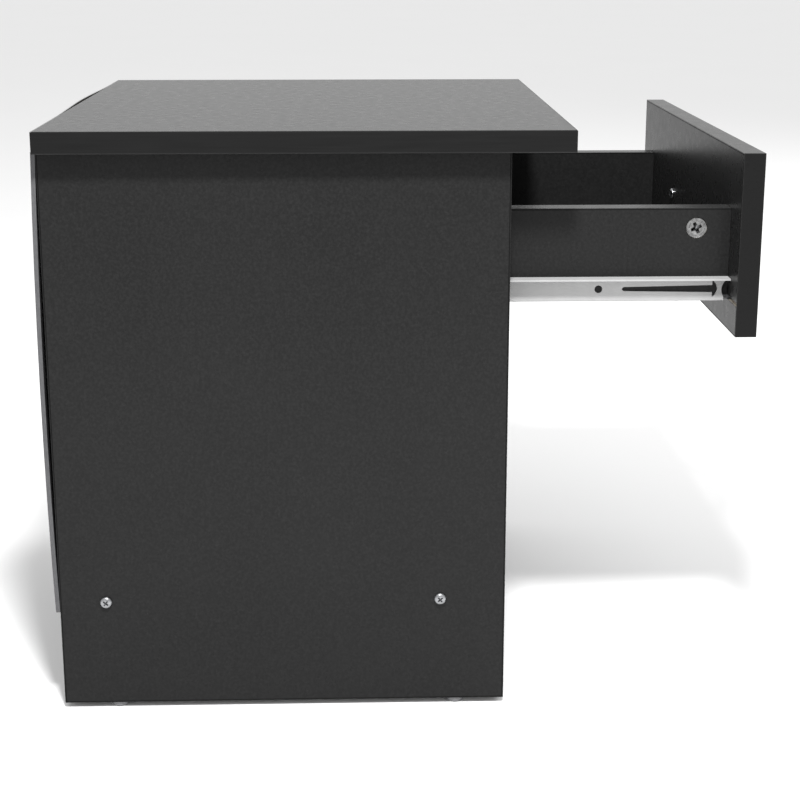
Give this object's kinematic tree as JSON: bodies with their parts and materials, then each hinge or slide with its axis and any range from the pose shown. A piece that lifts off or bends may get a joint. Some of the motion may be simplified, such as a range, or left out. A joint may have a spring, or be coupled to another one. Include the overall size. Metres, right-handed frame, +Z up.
{
  "type": "bedside table",
  "caption": "Low bedside table in dark melamine board: overhanging top, side panels, lower shelf, thin back and a drawer on roller runners.",
  "frame": {"origin": "on the floor under the middle of the overall box, with the drawer at its rest opening", "axes": "+Z up, the drawer opens towards -Y, +X to the right when facing the drawer front"},
  "size_m": [0.38, 0.5228, 0.42],
  "materials": {
    "melamine_board": "textured satin charcoal melamine",
    "edge_band": "satin black edge band",
    "hardboard": "painted hardboard, satin dark grey face",
    "drawer_hardboard": "painted hardboard, satin dark grey face",
    "zinc_steel": "bright zinc plated",
    "cam_zinc": "die-cast zinc, dull silver",
    "runner_steel": "light grey epoxy powder coat",
    "nylon": "natural white nylon",
    "beech": "raw beech",
    "glide_plastic": "grey polyethylene",
    "handle_metal": "satin nickel"
  },
  "bodies": {
    "cabinet": {"top_panel": "melamine_board", "top_edge_bands": "edge_band", "top_rear_edge_band": "edge_band", "side_panel_left": "melamine_board", "side_panel_right": "melamine_board", "bottom_shelf": "melamine_board", "shelf_screws": "zinc_steel", "back_panel": "hardboard", "back_panel_nails": "zinc_steel", "top_cam_locks": "cam_zinc", "top_cam_bolts": "zinc_steel", "top_dowels": "beech", "glides": "glide_plastic", "glide_nails": "zinc_steel", "cabinet_runner_left": "runner_steel", "cabinet_runner_right": "runner_steel", "cabinet_runner_screws": "zinc_steel", "front_roller_rivets": "zinc_steel"},
    "drawer": {"drawer_front": "melamine_board", "drawer_side_left": "melamine_board", "drawer_side_right": "melamine_board", "drawer_back": "melamine_board", "drawer_bottom": "drawer_hardboard", "drawer_runner_left": "runner_steel", "drawer_runner_right": "runner_steel", "drawer_runner_screws": "zinc_steel", "rear_roller_rivets": "zinc_steel", "drawer_cam_locks": "cam_zinc", "drawer_cam_bolts": "zinc_steel", "drawer_dowels": "beech", "drawer_back_screws": "zinc_steel", "drawer_bottom_nails": "zinc_steel", "handle": "handle_metal", "handle_screws": "zinc_steel"},
    "front_roller_left": {"front_roller_left": "nylon"},
    "front_roller_right": {"front_roller_right": "nylon"},
    "rear_roller_left": {"rear_roller_left": "nylon"},
    "rear_roller_right": {"rear_roller_right": "nylon"}
  },
  "joints": [
    {"name": "drawer_slide", "type": "slide", "parent": "cabinet", "child": "drawer", "axis": [0, -1, 0], "range_m": [-0.156, 0.065]},
    {"name": "front_roller_left_spin", "type": "hinge", "parent": "cabinet", "child": "front_roller_left", "pos_m": [-0.15755, -0.04595, 0.304], "axis": [1, 0, 0], "continuous": true},
    {"name": "rear_roller_left_spin", "type": "hinge", "parent": "drawer", "child": "rear_roller_left", "pos_m": [-0.15495, 0.06955, 0.3028], "axis": [1, 0, 0], "continuous": true},
    {"name": "front_roller_right_spin", "type": "hinge", "parent": "cabinet", "child": "front_roller_right", "pos_m": [0.15755, -0.04595, 0.304], "axis": [1, 0, 0], "continuous": true},
    {"name": "rear_roller_right_spin", "type": "hinge", "parent": "drawer", "child": "rear_roller_right", "pos_m": [0.15495, 0.06955, 0.3028], "axis": [1, 0, 0], "continuous": true}
  ],
  "couplings": [
    {"joint": "front_roller_left_spin", "follows": "drawer_slide", "rad_per_m": 153.85},
    {"joint": "rear_roller_left_spin", "follows": "drawer_slide", "rad_per_m": 153.85},
    {"joint": "front_roller_right_spin", "follows": "drawer_slide", "rad_per_m": 153.85},
    {"joint": "rear_roller_right_spin", "follows": "drawer_slide", "rad_per_m": 153.85}
  ]
}
